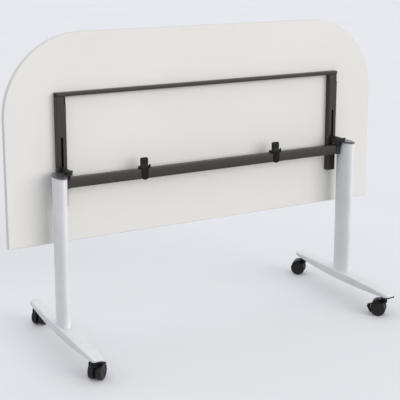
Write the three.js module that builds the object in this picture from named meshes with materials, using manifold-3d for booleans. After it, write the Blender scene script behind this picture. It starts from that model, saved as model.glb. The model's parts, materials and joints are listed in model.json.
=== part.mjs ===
// Flip top training table, shown with the top swung up.
// Millimetres, +Z up. The origin is on the floor, midway between the two columns.
// +X runs along the table and +Y points to the side that the raised top hangs on.

import * as THREE from 'three';
import { mergeVertices } from 'three/addons/utils/BufferGeometryUtils.js';
import Module from 'manifold-3d';

const wasm = await Module();
wasm.setup();

// Fits
const CLEARANCE = 0.3;
const RUNNING_GAP = 0.08;
const SWING_GAP = 1;
const OVERCUT = 1;

// Tabletop
const TABLE_LENGTH = 1600;
const TABLE_DEPTH = 770;
const TABLE_HEIGHT = 718;
const TOP_THICK = 25;
const CORNER_RADIUS = 300;
const BAND_THICK = 2;
const TOP_GAP = 24.9;
const PIVOT_TO_REAR_EDGE = 280.6;

// Channels, their plates and the rail under the board
const CHANNEL_TO_COLUMN = 11;
const CHANNEL_WIDTH = 36;
const CHANNEL_DEPTH = 25;
const CHANNEL_WALL = 2;
const CHANNEL_TAIL = 139.4;
const PLATE_THICK = 3;
const PLATE_END_GAP = 6;
const SCREW_RADIUS = 2;
const SCREW_HEAD_RADIUS = 4.5;
const SCREW_HEAD = 2.2;
const SCREW_BITE = 16;
const SCREW_INSET = 40;
const RAIL_REACH = 276.7;
const RAIL_HEIGHT = 14;
const RAIL_WALL = 1.5;
const RAIL_PLUG_HEAD = 2;
const RAIL_PLUG_DEPTH = 12;
const NOTCH_WIDTH = 6.5;
const NOTCH_HEIGHT = 27;
const SLOT_MARGIN = 16;

// Hinge arms, pins and bushes
const ARM_THICK = 7;
const ARM_HEIGHT = 16.8;
const ARM_REACH = 99;
const ARM_LIP_HEIGHT = 4;
const ARM_LIP_LENGTH = 11;
const ARM_LIP_OVERHANG = 4.6;
const ARM_TONGUE_DEPTH = 18;
const PIN_RADIUS = 4;
const PIN_PROUD = 0.4;
const BUSH_WALL = 1.1;

// Latch bolts
const LATCH_WIDTH = 12;
const LATCH_THICK = 5;
const LATCH_TRAVEL = 6.5;
const LATCH_TIP_GAP = 3;
const LATCH_TONGUE = 10;
const LATCH_STEP = 6;
const LATCH_TAB_HEIGHT = 10;

// Columns, caps and feet
const END_OVERHANG = 171;
const COLUMN_WIDTH = 44;
const COLUMN_DEPTH = 101;
const COLUMN_WALL = 2.5;
const CAP_THICK = 5.5;
const CAP_RIM = 2.5;
const CAP_PLUG = 16;
const FOOT_LENGTH = 650;
const FOOT_WIDTH = 60;
const FOOT_TIP_WIDTH = 40;
const FOOT_TIP_ROUND = 10;
const FOOT_RISE = 45;
const FOOT_THICK = 34;
const FOOT_TIP_THICK = 13;
const FOOT_TIP_DROP = 10;
const FOOT_NOSE = 14;
const FOOT_NOSE_RISE = 9;
const SPIGOT_HEIGHT = 37;
const FOOT_BOLT_RADIUS = 4;
const FOOT_BOLT_HEAD = 5;
const FOOT_BOLT_HEAD_RADIUS = 7;
const NUT_PLATE_THICK = 8;
const NUT_PLATE_GAP = 15;

// Crossbeam, saddles and top rests
const BEAM_HEIGHT = 37;
const BEAM_DEPTH = 30;
const BEAM_WALL = 2;
const BEAM_FRONT = 4;
const BEAM_DROP = 11;
const SADDLE_WALL = 4.5;
const SADDLE_LIP = 1;
const SADDLE_NOSE = 12;
const SADDLE_SPIGOT = 16;
const ARM_BOLT_RADIUS = 3;
const ARM_BOLT_HEAD = 3.5;
const ARM_BOLT_HEAD_RADIUS = 4.5;
const REST_SPACING = 580;
const REST_WIDTH = 30;
const REST_NECK_WIDTH = 24.6;
const REST_WALL = 3;
const REST_POST_WIDTH = 26;
const REST_POST_DEPTH = 16;
const REST_EAR_SPAN = 43;
const REST_EAR_HEIGHT = 17;

// Casters
const WHEEL_RADIUS = 30.5;
const WHEEL_WIDTH = 21;
const WHEEL_GAP = 9;
const WHEEL_EDGE = 2;
const HUB_RADIUS = 7.2;
const AXLE_RADIUS = 3;
const CASTER_INSET = 41.5;
const CASTER_TRAIL = 21.5;
const HOOD_GAP = 1;
const HOOD_WALL = 1.8;
const HOOD_SIDE_WALL = 1.2;
const HOOD_SIDE_GAP = 0.8;
const HOOD_SKIRT = 6;
const HOOD_WEB_RADIUS = 20;
const HOOD_START = THREE.MathUtils.degToRad(38);
const HOOD_END = THREE.MathUtils.degToRad(128);
const STEM_RADIUS = 5;
const STEM_REACH = 10;
const STEM_FLANGE = 15;
const STEM_FLANGE_THICK = 3.7;
const BOSS_RADIUS = 13;
const BOSS_FLOOR = 4;

// Brake lever and the brake shoe behind the wheel
const LEVER_WIDTH = 11;
const LEVER_LENGTH = 37;
const LEVER_THICK = 4.5;
const LEVER_RISE = THREE.MathUtils.degToRad(22);
const LEVER_PIN_RADIUS = 1.8;
const LEVER_STANDOFF = 4.2;
const SHOE_WIDTH = 17;
const SHOE_REACH = 13;
const SHOE_THICK = 6;
const SHOE_START = THREE.MathUtils.degToRad(-32);

// Casters stand as they were left: the heading is the way each one trails, from +Y towards +X.
const CASTERS = [
  { name: 'front_left', side: -1, end: -1, heading: 47, braked: false },
  { name: 'front_right', side: 1, end: -1, heading: -43, braked: true },
  { name: 'rear_left', side: -1, end: 1, heading: 47, braked: false },
  { name: 'rear_right', side: 1, end: 1, heading: -43, braked: false },
];
const SIDES = [
  { name: 'left', side: -1 },
  { name: 'right', side: 1 },
];

// Facets
const ROUND_SIDES = 24;
const SMALL_SIDES = 16;
const WHEEL_SIDES = 24;
const OVAL_SIDES = 40;
const CURVE_STEPS = 14;

// Levels that follow from the sizes above
const UNDERSIDE_LEVEL = TABLE_HEIGHT - TOP_THICK;
const TOP_SETBACK = COLUMN_DEPTH / 2 + TOP_GAP;
const BUSH_RADIUS = PIN_RADIUS + RUNNING_GAP + BUSH_WALL;
const PIVOT_INSET = CHANNEL_WALL + BUSH_RADIUS + CLEARANCE;
const PIVOT_Y = TOP_SETBACK - CHANNEL_DEPTH + PIVOT_INSET;
const PIVOT_Z = UNDERSIDE_LEVEL - CHANNEL_DEPTH + PIVOT_INSET;
const CHANNEL_FACE = TOP_SETBACK - CHANNEL_DEPTH;
const CHANNEL_BACK = TOP_SETBACK - CLEARANCE;
const CHANNEL_LOW = PIVOT_Z - CHANNEL_TAIL;
const RAIL_TOP = PIVOT_Z + RAIL_REACH;
const RAIL_LOW = RAIL_TOP - RAIL_HEIGHT;
const CHANNEL_HIGH = RAIL_LOW - CLEARANCE;
const CHANNEL_INSIDE = CHANNEL_WIDTH / 2 - CHANNEL_WALL;
const PLATE_FACE = CHANNEL_BACK - PLATE_THICK;
const BOARD_LOW = PIVOT_Z - PIVOT_TO_REAR_EDGE;
const BOARD_HIGH = BOARD_LOW + TABLE_DEPTH;
const ARM_LOW = PIVOT_Z - ARM_HEIGHT / 2;
const ARM_HIGH = PIVOT_Z + ARM_HEIGHT / 2;
const NOSE_Y = PIVOT_Y - ARM_REACH;
const CAP_TOP = UNDERSIDE_LEVEL - CHANNEL_DEPTH - SWING_GAP;
const COLUMN_TOP = CAP_TOP - CAP_THICK - CLEARANCE;
const FOOT_TOP = 2 * WHEEL_RADIUS + FOOT_RISE;
const COLUMN_LOW = FOOT_TOP + CLEARANCE;
const COLUMN_X = TABLE_LENGTH / 2 - END_OVERHANG;
const CHANNEL_X = COLUMN_X - COLUMN_WIDTH / 2 - CHANNEL_TO_COLUMN;
const SADDLE_TOP = COLUMN_TOP - CLEARANCE;
const SADDLE_INNER = CHANNEL_X - ARM_THICK / 2 - CLEARANCE - SADDLE_WALL;
const BEAM_HIGH = SADDLE_TOP - BEAM_DROP;
const BEAM_LOW = BEAM_HIGH - BEAM_HEIGHT;
const BEAM_BACK = BEAM_FRONT + BEAM_DEPTH;
const BEAM_END = SADDLE_INNER - CLEARANCE;
const STEM_Y = FOOT_LENGTH / 2 - CASTER_INSET;
const FOOT_LOW = FOOT_TOP - FOOT_THICK;
const SCREW_X = -(CHANNEL_INSIDE + LATCH_WIDTH / 2) / 2;
const SCREW_LEVELS = [CHANNEL_LOW + SCREW_INSET, CHANNEL_HIGH - SCREW_INSET];
const WHEEL_OUTSIDE = WHEEL_GAP / 2 + WHEEL_WIDTH;
const AXLE_HALF = WHEEL_GAP / 2 + 0.8 * WHEEL_WIDTH;
const HOOD_INNER = WHEEL_RADIUS + HOOD_GAP;
const HOOD_OUTER = HOOD_INNER + HOOD_WALL;
const STEM_LOW = WHEEL_RADIUS + SWING_GAP + Math.sqrt(HOOD_INNER ** 2 - (CASTER_TRAIL - STEM_RADIUS) ** 2);
const FLANGE_TOP = footUnderside(STEM_Y - STEM_FLANGE) - CLEARANCE;
const STEM_TOP = FLANGE_TOP + STEM_REACH;
const LEVER_X = WHEEL_OUTSIDE - LEVER_WIDTH / 2;
const LEVER_Y = CASTER_TRAIL + (HOOD_OUTER + LEVER_STANDOFF) * Math.cos(HOOD_END);
const LEVER_Z = WHEEL_RADIUS + (HOOD_OUTER + LEVER_STANDOFF) * Math.sin(HOOD_END);

// Finishes
const FINISHES = {
  laminate: { color: 0xe6e4df, roughness: 0.5, metalness: 0 },
  edging: { color: 0xdedbd5, roughness: 0.45, metalness: 0 },
  anthracite: { color: 0x464440, roughness: 0.5, metalness: 0.2 },
  white_coat: { color: 0xeceded, roughness: 0.4, metalness: 0.1 },
  white_casting: { color: 0xeceded, roughness: 0.4, metalness: 0.1 },
  dark_casting: { color: 0x3c3d42, roughness: 0.45, metalness: 0.2 },
  dark_steel: { color: 0x3a3b40, roughness: 0.45, metalness: 0.3 },
  cap_plastic: { color: 0x4a4c52, roughness: 0.5, metalness: 0 },
  black_plastic: { color: 0x1d1d1e, roughness: 0.5, metalness: 0 },
  tread: { color: 0x2b2b2c, roughness: 0.6, metalness: 0 },
  steel: { color: 0x9a9b9d, roughness: 0.35, metalness: 0.9 },
  nylon: { color: 0xc9c6bd, roughness: 0.55, metalness: 0 },
};

const table = new THREE.Group();
table.name = 'flip_top_training_table';

// Turning geometry into solids and back

function solid(geometry) {
  const bare = geometry.index ? geometry.toNonIndexed() : geometry.clone();
  bare.deleteAttribute('normal');
  bare.deleteAttribute('uv');
  const welded = mergeVertices(bare, 1e-4);
  const mesh = new wasm.Mesh({
    numProp: 3,
    vertProperties: new Float32Array(welded.attributes.position.array),
    triVerts: new Uint32Array(welded.index.array),
  });
  return new wasm.Manifold(mesh);
}

function surface(manifold) {
  const mesh = manifold.getMesh();
  const geometry = new THREE.BufferGeometry();
  geometry.setAttribute('position', new THREE.BufferAttribute(new Float32Array(mesh.vertProperties), 3));
  geometry.setIndex(new THREE.BufferAttribute(new Uint32Array(mesh.triVerts), 1));
  geometry.computeVertexNormals();
  return geometry;
}

function add(parent, name, finish, manifold) {
  const mesh = new THREE.Mesh(surface(manifold), new THREE.MeshStandardMaterial(FINISHES[finish]));
  mesh.name = name;
  parent.add(mesh);
}

function join(...parts) {
  return parts.reduce((sum, part) => sum.add(part));
}

function cut(body, ...tools) {
  return tools.reduce((rest, tool) => rest.subtract(tool), body);
}

// Pieces drawn on the right-hand side are mirrored for the left.
function onSide(manifold, side) {
  return manifold.transform(new THREE.Matrix4().makeScale(side, 1, 1).elements);
}

// Basic shapes, each given by its own limits

function block(x0, x1, y0, y1, z0, z1) {
  const geometry = new THREE.BoxGeometry(x1 - x0, y1 - y0, z1 - z0);
  geometry.translate((x0 + x1) / 2, (y0 + y1) / 2, (z0 + z1) / 2);
  return solid(geometry);
}

function prism(shape, depth, basis) {
  const geometry = new THREE.ExtrudeGeometry(shape, {
    depth,
    bevelEnabled: false,
    steps: 1,
    curveSegments: CURVE_STEPS,
  });
  geometry.applyMatrix4(basis);
  return solid(geometry);
}

// A side outline drawn in (y, z), run along X.
function prismX(shape, x0, x1) {
  const basis = new THREE.Matrix4().set(0, 0, 1, x0, 1, 0, 0, 0, 0, 1, 0, 0, 0, 0, 0, 1);
  return prism(shape, x1 - x0, basis);
}

// A front outline drawn in (x, z), run along Y.
function prismY(shape, y0, y1) {
  const basis = new THREE.Matrix4().set(1, 0, 0, 0, 0, 0, -1, y1, 0, 1, 0, 0, 0, 0, 0, 1);
  return prism(shape, y1 - y0, basis);
}

// A plan outline drawn in (x, y), run up Z.
function prismZ(shape, z0, z1) {
  return prism(shape, z1 - z0, new THREE.Matrix4().makeTranslation(0, 0, z0));
}

function outline(points) {
  return new THREE.Shape(points.map(([x, y]) => new THREE.Vector2(x, y)));
}

function oval(x, halfWidth, halfDepth) {
  const points = [];
  for (let i = 0; i < OVAL_SIDES; i += 1) {
    const turn = (2 * Math.PI * i) / OVAL_SIDES;
    points.push([x + halfWidth * Math.cos(turn), halfDepth * Math.sin(turn)]);
  }
  return outline(points);
}

function rodX(radius, x0, x1, y, z, sides = ROUND_SIDES) {
  const geometry = new THREE.CylinderGeometry(radius, radius, x1 - x0, sides);
  geometry.rotateZ(-Math.PI / 2);
  geometry.translate((x0 + x1) / 2, y, z);
  return solid(geometry);
}

function rodY(radius, y0, y1, x, z, sides = ROUND_SIDES) {
  const geometry = new THREE.CylinderGeometry(radius, radius, y1 - y0, sides);
  geometry.translate(x, (y0 + y1) / 2, z);
  return solid(geometry);
}

function rodZ(radius, z0, z1, x, y, sides = ROUND_SIDES) {
  const geometry = new THREE.CylinderGeometry(radius, radius, z1 - z0, sides);
  geometry.rotateX(Math.PI / 2);
  geometry.translate(x, y, (z0 + z1) / 2);
  return solid(geometry);
}

// Board and edge band: two round corners on the user edge, two square ones behind

function boardOutline(inset) {
  const half = TABLE_LENGTH / 2 - inset;
  const low = BOARD_LOW + inset;
  const high = BOARD_HIGH - inset;
  const radius = CORNER_RADIUS - inset;
  const shape = new THREE.Shape();
  shape.moveTo(-half, low);
  shape.lineTo(half, low);
  shape.lineTo(half, high - radius);
  shape.absarc(half - radius, high - radius, radius, 0, Math.PI / 2, false);
  shape.lineTo(-half + radius, high);
  shape.absarc(-half + radius, high - radius, radius, Math.PI / 2, Math.PI, false);
  return shape;
}

function buildBoard() {
  const face = TOP_SETBACK + TOP_THICK;
  const holes = [];
  for (const { side } of SIDES) {
    for (const level of SCREW_LEVELS) {
      const x = side * CHANNEL_X + SCREW_X;
      const depth = TOP_SETBACK + SCREW_BITE + CLEARANCE;
      holes.push(rodY(SCREW_RADIUS + CLEARANCE, TOP_SETBACK - OVERCUT, depth, x, level, SMALL_SIDES));
    }
  }
  const board = prismY(boardOutline(BAND_THICK + CLEARANCE), TOP_SETBACK, face);
  add(table, 'tabletop', 'laminate', cut(board, ...holes));
  const ring = prismY(boardOutline(0), TOP_SETBACK, face);
  const inside = prismY(boardOutline(BAND_THICK), TOP_SETBACK - OVERCUT, face + OVERCUT);
  add(table, 'edge_band', 'edging', cut(ring, inside));
}

// Channels: slotted for the arm, notched for a finger on the latch tab

function buildChannel(name, x) {
  const half = CHANNEL_WIDTH / 2;
  const inner = CHANNEL_FACE + CHANNEL_WALL;
  const slotHalf = ARM_THICK / 2 + SWING_GAP;
  const slotLow = ARM_LOW - SWING_GAP;
  const slotHigh = PIVOT_Z + ARM_REACH + SLOT_MARGIN;
  const over = OVERCUT;
  const profile = block(x - half, x + half, CHANNEL_FACE, CHANNEL_BACK, CHANNEL_LOW, CHANNEL_HIGH);
  const hollow = block(
    x - CHANNEL_INSIDE, x + CHANNEL_INSIDE, inner, CHANNEL_BACK + over,
    CHANNEL_LOW - over, CHANNEL_HIGH + over,
  );
  const slot = block(x - slotHalf, x + slotHalf, CHANNEL_FACE - over, inner + over / 2, slotLow, slotHigh);
  const notch = block(
    x + half - NOTCH_WIDTH, x + half + over, CHANNEL_FACE - over, inner + over,
    CHANNEL_HIGH - NOTCH_HEIGHT, CHANNEL_HIGH + over,
  );
  const pinHole = rodX(PIN_RADIUS + CLEARANCE / 2, x - half - over, x + half + over, PIVOT_Y, PIVOT_Z);
  add(table, `channel_${name}`, 'anthracite', cut(profile, hollow, slot, notch, pinHole));

  const plateHalf = CHANNEL_INSIDE - CLEARANCE;
  const plate = block(
    x - plateHalf, x + plateHalf, PLATE_FACE, CHANNEL_BACK,
    CHANNEL_LOW + PLATE_END_GAP, CHANNEL_HIGH - PLATE_END_GAP,
  );
  const screwX = x + SCREW_X;
  const holes = SCREW_LEVELS.map((level) => (
    rodY(SCREW_RADIUS + CLEARANCE, PLATE_FACE - over, CHANNEL_BACK + over, screwX, level, SMALL_SIDES)
  ));
  add(table, `channel_plate_${name}`, 'steel', cut(plate, ...holes));
  SCREW_LEVELS.forEach((level, i) => {
    const headBack = PLATE_FACE - CLEARANCE;
    const head = rodY(SCREW_HEAD_RADIUS, headBack - SCREW_HEAD, headBack, screwX, level, SMALL_SIDES);
    const tip = TOP_SETBACK + SCREW_BITE;
    const shank = rodY(SCREW_RADIUS, headBack - SCREW_HEAD / 2, tip, screwX, level, SMALL_SIDES);
    add(table, `plate_screw_${name}_${i + 1}`, 'steel', join(head, shank));
  });

  const pinHalf = half + PIN_PROUD;
  add(table, `pivot_pin_${name}`, 'steel', rodX(PIN_RADIUS, x - pinHalf, x + pinHalf, PIVOT_Y, PIVOT_Z));
}

// Latch bolt: a stepped bar on the channel plate, drawn back at rest, with a tongue for the arm's lip

function buildLatch(name, x) {
  const half = LATCH_WIDTH / 2;
  const back = PLATE_FACE - CLEARANCE;
  const front = back - LATCH_THICK;
  const tip = PIVOT_Z + ARM_REACH + LATCH_TIP_GAP;
  const shoulder = tip + LATCH_TONGUE;
  const tongueBack = PIVOT_Y + ARM_HEIGHT / 2 - SWING_GAP / 2;
  const tongueFront = tongueBack - LATCH_STEP;
  const tabLow = CHANNEL_HIGH - NOTCH_HEIGHT + LATCH_TRAVEL;
  const tabHigh = tabLow + LATCH_TAB_HEIGHT;
  const tabFront = CHANNEL_FACE + CHANNEL_WALL + SWING_GAP;
  const bar = block(x - half, x + half, front, back, shoulder, tabHigh);
  const step = block(x - half, x + half, tongueFront, back, shoulder, shoulder + LATCH_STEP);
  const tongue = block(x - half, x + half, tongueFront, tongueBack, tip, shoulder + LATCH_STEP / 2);
  const tab = block(x - half, x + CHANNEL_INSIDE - SWING_GAP, tabFront, back, tabLow, tabHigh);
  add(table, `latch_bolt_${name}`, 'black_plastic', join(bar, step, tongue, tab));
}

// Rail across the channels' user ends, with a plug in each end

function buildRail() {
  const half = CHANNEL_X + CHANNEL_WIDTH / 2;
  const tubeEnd = half - RAIL_PLUG_HEAD - CLEARANCE;
  const y0 = CHANNEL_FACE;
  const y1 = CHANNEL_BACK;
  const w = RAIL_WALL;
  const over = OVERCUT;
  const tube = block(-tubeEnd, tubeEnd, y0, y1, RAIL_LOW, RAIL_TOP);
  const bore = block(-tubeEnd - over, tubeEnd + over, y0 + w, y1 - w, RAIL_LOW + w, RAIL_TOP - w);
  add(table, 'front_rail', 'anthracite', cut(tube, bore));
  const g = w + CLEARANCE;
  for (const { name, side } of SIDES) {
    const head = block(half - RAIL_PLUG_HEAD, half, y0, y1, RAIL_LOW, RAIL_TOP);
    const stub = block(
      tubeEnd - RAIL_PLUG_DEPTH, half - RAIL_PLUG_HEAD / 2, y0 + g, y1 - g, RAIL_LOW + g, RAIL_TOP - g,
    );
    add(table, `rail_plug_${name}`, 'black_plastic', onSide(join(head, stub), side));
  }
}

// Crossbeam between the saddles

function buildBeam() {
  const w = BEAM_WALL;
  const tube = block(-BEAM_END, BEAM_END, BEAM_FRONT, BEAM_BACK, BEAM_LOW, BEAM_HIGH);
  const end = BEAM_END + OVERCUT;
  const bore = block(-end, end, BEAM_FRONT + w, BEAM_BACK - w, BEAM_LOW + w, BEAM_HIGH - w);
  add(table, 'crossbeam', 'anthracite', cut(tube, bore));
}

// Clip over the beam with two ears and the post that the level top lands on

function buildRest(name, x) {
  const half = REST_WIDTH / 2;
  const front = BEAM_FRONT - CLEARANCE - REST_WALL;
  const back = BEAM_BACK + CLEARANCE + REST_WALL;
  const seat = BEAM_HIGH + CLEARANCE;
  const bridgeTop = seat + 2 * REST_WALL;
  const neck = REST_NECK_WIDTH / 2;
  const ear = REST_EAR_SPAN / 2;
  const earTop = seat + REST_EAR_HEIGHT;
  const shield = new THREE.Shape();
  shield.moveTo(x + half, bridgeTop);
  shield.lineTo(x - half, bridgeTop);
  shield.lineTo(x - neck, BEAM_LOW + 2 * REST_WALL);
  shield.quadraticCurveTo(x - neck, BEAM_LOW - REST_WALL, x, BEAM_LOW - REST_WALL);
  shield.quadraticCurveTo(x + neck, BEAM_LOW - REST_WALL, x + neck, BEAM_LOW + 2 * REST_WALL);
  const ears = [-1, 1].map((hand) => outline([
    [x + hand * (half - REST_WALL), seat],
    [x + hand * ear, seat + REST_WALL],
    [x + hand * ear, earTop],
    [x + hand * (ear - REST_WALL), earTop],
    [x + hand * (half - REST_WALL), bridgeTop],
  ]));
  const postTop = UNDERSIDE_LEVEL - CLEARANCE;
  const postHalf = REST_POST_WIDTH / 2;
  const postRound = REST_WALL;
  const post = new THREE.Shape();
  post.moveTo(x - postHalf, seat);
  post.lineTo(x + postHalf, seat);
  post.lineTo(x + postHalf, postTop - postRound);
  post.absarc(x + postHalf - postRound, postTop - postRound, postRound, 0, Math.PI / 2, false);
  post.absarc(x - postHalf + postRound, postTop - postRound, postRound, Math.PI / 2, Math.PI, false);
  const parts = [
    prismY(shield, front, front + REST_WALL),
    ...ears.map((shape) => prismY(shape, front, front + 2 * REST_WALL)),
    block(x - half, x + half, front, back, seat, bridgeTop),
    block(x - neck, x + neck, back - REST_WALL, back, BEAM_LOW + BEAM_HEIGHT / 2, bridgeTop),
    prismY(post, BEAM_FRONT, BEAM_FRONT + REST_POST_DEPTH),
  ];
  add(table, `top_rest_${name}`, 'black_plastic', join(...parts));
}

// Saddle: seats the beam's end on the column and holds the arm's tongue in a groove

function buildSaddle(name, side) {
  const front = BEAM_FRONT - SADDLE_LIP;
  const back = BEAM_BACK + SADDLE_LIP;
  const low = BEAM_LOW - SADDLE_LIP;
  const shape = new THREE.Shape();
  shape.moveTo(front, low);
  shape.lineTo(back, low);
  shape.lineTo(back, SADDLE_TOP);
  shape.lineTo(front - SADDLE_NOSE, SADDLE_TOP);
  shape.quadraticCurveTo(front, (low + SADDLE_TOP) / 2, front, low);
  const body = prismX(shape, SADDLE_INNER, COLUMN_X);
  const seat = prismZ(
    oval(COLUMN_X, COLUMN_WIDTH / 2 + CLEARANCE, COLUMN_DEPTH / 2 + CLEARANCE),
    low - OVERCUT, SADDLE_TOP + OVERCUT,
  );
  const grooveHalf = ARM_THICK / 2 + CLEARANCE;
  const grooveLow = SADDLE_TOP - ARM_TONGUE_DEPTH - CLEARANCE;
  const groove = block(
    CHANNEL_X - grooveHalf, CHANNEL_X + grooveHalf, front - SADDLE_NOSE - OVERCUT, back + OVERCUT,
    grooveLow, SADDLE_TOP + OVERCUT,
  );
  const inset = BEAM_WALL + CLEARANCE;
  const spigot = block(
    SADDLE_INNER - SADDLE_SPIGOT, SADDLE_INNER + SADDLE_WALL / 2,
    BEAM_FRONT + inset, BEAM_BACK - inset, BEAM_LOW + inset, BEAM_HIGH - inset,
  );
  const boltY = (BEAM_FRONT + BEAM_BACK) / 2;
  const boltZ = (BEAM_HIGH + SADDLE_TOP) / 2;
  const boltEnd = CHANNEL_X + grooveHalf + SADDLE_WALL / 2;
  const holeRadius = ARM_BOLT_RADIUS + CLEARANCE;
  const hole = rodX(holeRadius, SADDLE_INNER - OVERCUT, boltEnd + CLEARANCE, boltY, boltZ, SMALL_SIDES);
  const saddle = join(cut(body, seat, groove), spigot);
  add(table, `saddle_${name}`, 'dark_casting', onSide(cut(saddle, hole), side));

  // Arm: hinge eye behind, tongue in the saddle, lipped nose in front
  const tongueBack = back - CLEARANCE;
  const tongueFront = front - SADDLE_LIP;
  const tongueLow = SADDLE_TOP - ARM_TONGUE_DEPTH;
  const noseFace = NOSE_Y + ARM_LIP_OVERHANG;
  const lipTop = ARM_HIGH + ARM_LIP_HEIGHT;
  const lipBack = NOSE_Y + ARM_LIP_LENGTH;
  const chamfer = ARM_LIP_HEIGHT / 3;
  const arm = new THREE.Shape();
  arm.moveTo(PIVOT_Y, ARM_LOW);
  arm.absarc(PIVOT_Y, PIVOT_Z, ARM_HEIGHT / 2, -Math.PI / 2, Math.PI / 2, false);
  arm.lineTo(lipBack + chamfer, ARM_HIGH);
  arm.lineTo(lipBack, lipTop);
  arm.lineTo(NOSE_Y + chamfer, lipTop);
  arm.lineTo(NOSE_Y, lipTop - chamfer);
  arm.lineTo(NOSE_Y, ARM_HIGH);
  arm.lineTo(noseFace, ARM_HIGH);
  arm.lineTo(noseFace, ARM_LOW + ARM_HEIGHT / 4);
  arm.lineTo(noseFace + ARM_HEIGHT / 4, ARM_LOW);
  arm.lineTo(tongueFront, ARM_LOW);
  arm.lineTo(tongueFront, tongueLow);
  arm.lineTo(tongueBack, tongueLow);
  arm.lineTo(tongueBack, ARM_LOW);
  const armInner = CHANNEL_X - ARM_THICK / 2;
  const armOuter = CHANNEL_X + ARM_THICK / 2;
  const eye = rodX(BUSH_RADIUS + CLEARANCE / 2, armInner - OVERCUT, armOuter + OVERCUT, PIVOT_Y, PIVOT_Z);
  const armHole = rodX(holeRadius, armInner - OVERCUT, armOuter + OVERCUT, boltY, boltZ, SMALL_SIDES);
  const plate = cut(prismX(arm, armInner, armOuter), eye, armHole);
  add(table, `pivot_arm_${name}`, 'dark_steel', onSide(plate, side));

  const headEnd = SADDLE_INNER - CLEARANCE;
  const head = rodX(ARM_BOLT_HEAD_RADIUS, headEnd - ARM_BOLT_HEAD, headEnd, boltY, boltZ, SMALL_SIDES);
  const shank = rodX(ARM_BOLT_RADIUS, headEnd - ARM_BOLT_HEAD / 2, boltEnd, boltY, boltZ, SMALL_SIDES);
  add(table, `arm_bolt_${name}`, 'steel', onSide(join(head, shank), side));

  const bushHalf = CHANNEL_INSIDE - CLEARANCE;
  const sleeve = rodX(BUSH_RADIUS, CHANNEL_X - bushHalf, CHANNEL_X + bushHalf, PIVOT_Y, PIVOT_Z);
  const boreHalf = bushHalf + OVERCUT;
  const bore = rodX(PIN_RADIUS + RUNNING_GAP, CHANNEL_X - boreHalf, CHANNEL_X + boreHalf, PIVOT_Y, PIVOT_Z);
  add(table, `pivot_bush_${name}`, 'nylon', onSide(cut(sleeve, bore), side));
}

// Column, its cap and the bolt that draws it on to the foot

function buildColumn(name, x) {
  const halfW = COLUMN_WIDTH / 2;
  const halfD = COLUMN_DEPTH / 2;
  const insideW = halfW - COLUMN_WALL;
  const insideD = halfD - COLUMN_WALL;
  const plateLow = COLUMN_LOW + SPIGOT_HEIGHT + NUT_PLATE_GAP;
  const plateHigh = plateLow + NUT_PLATE_THICK;
  const tube = cut(
    prismZ(oval(x, halfW, halfD), COLUMN_LOW, COLUMN_TOP),
    prismZ(oval(x, insideW, insideD), COLUMN_LOW - OVERCUT, COLUMN_TOP + OVERCUT),
  );
  const nutPlate = prismZ(oval(x, insideW + COLUMN_WALL / 2, insideD + COLUMN_WALL / 2), plateLow, plateHigh);
  const hole = rodZ(FOOT_BOLT_RADIUS + CLEARANCE, plateLow - OVERCUT, plateHigh + OVERCUT, x, 0, SMALL_SIDES);
  add(table, `column_${name}`, 'white_coat', cut(join(tube, nutPlate), hole));

  const rim = new THREE.ExtrudeGeometry(oval(x, halfW + CAP_RIM / 2, halfD + CAP_RIM / 2), {
    depth: CAP_THICK - CAP_RIM,
    bevelEnabled: true,
    bevelThickness: CAP_RIM / 2,
    bevelSize: CAP_RIM / 2,
    bevelSegments: 1,
    curveSegments: CURVE_STEPS,
  });
  rim.translate(0, 0, CAP_TOP - CAP_THICK + CAP_RIM / 2);
  const plugW = insideW - CLEARANCE;
  const plugD = insideD - CLEARANCE;
  const plug = prismZ(oval(x, plugW, plugD), CAP_TOP - CAP_THICK - CAP_PLUG, CAP_TOP - CAP_THICK / 2);
  add(table, `column_cap_${name}`, 'cap_plastic', join(solid(rim), plug));

  const headLow = FOOT_LOW + CLEARANCE;
  const headHigh = headLow + FOOT_BOLT_HEAD;
  const nutLow = plateHigh + CLEARANCE;
  const nutHigh = nutLow + FOOT_BOLT_HEAD;
  const bolt = join(
    rodZ(FOOT_BOLT_HEAD_RADIUS, headLow, headHigh, x, 0, SMALL_SIDES),
    rodZ(FOOT_BOLT_RADIUS, headLow + CLEARANCE, nutHigh - CLEARANCE, x, 0, SMALL_SIDES),
    rodZ(FOOT_BOLT_HEAD_RADIUS, nutLow, nutHigh, x, 0, 6),
  );
  add(table, `foot_bolt_${name}`, 'steel', bolt);
}

// Foot: a shallow bow in side view and a taper in plan, with a spigot for the column

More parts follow.
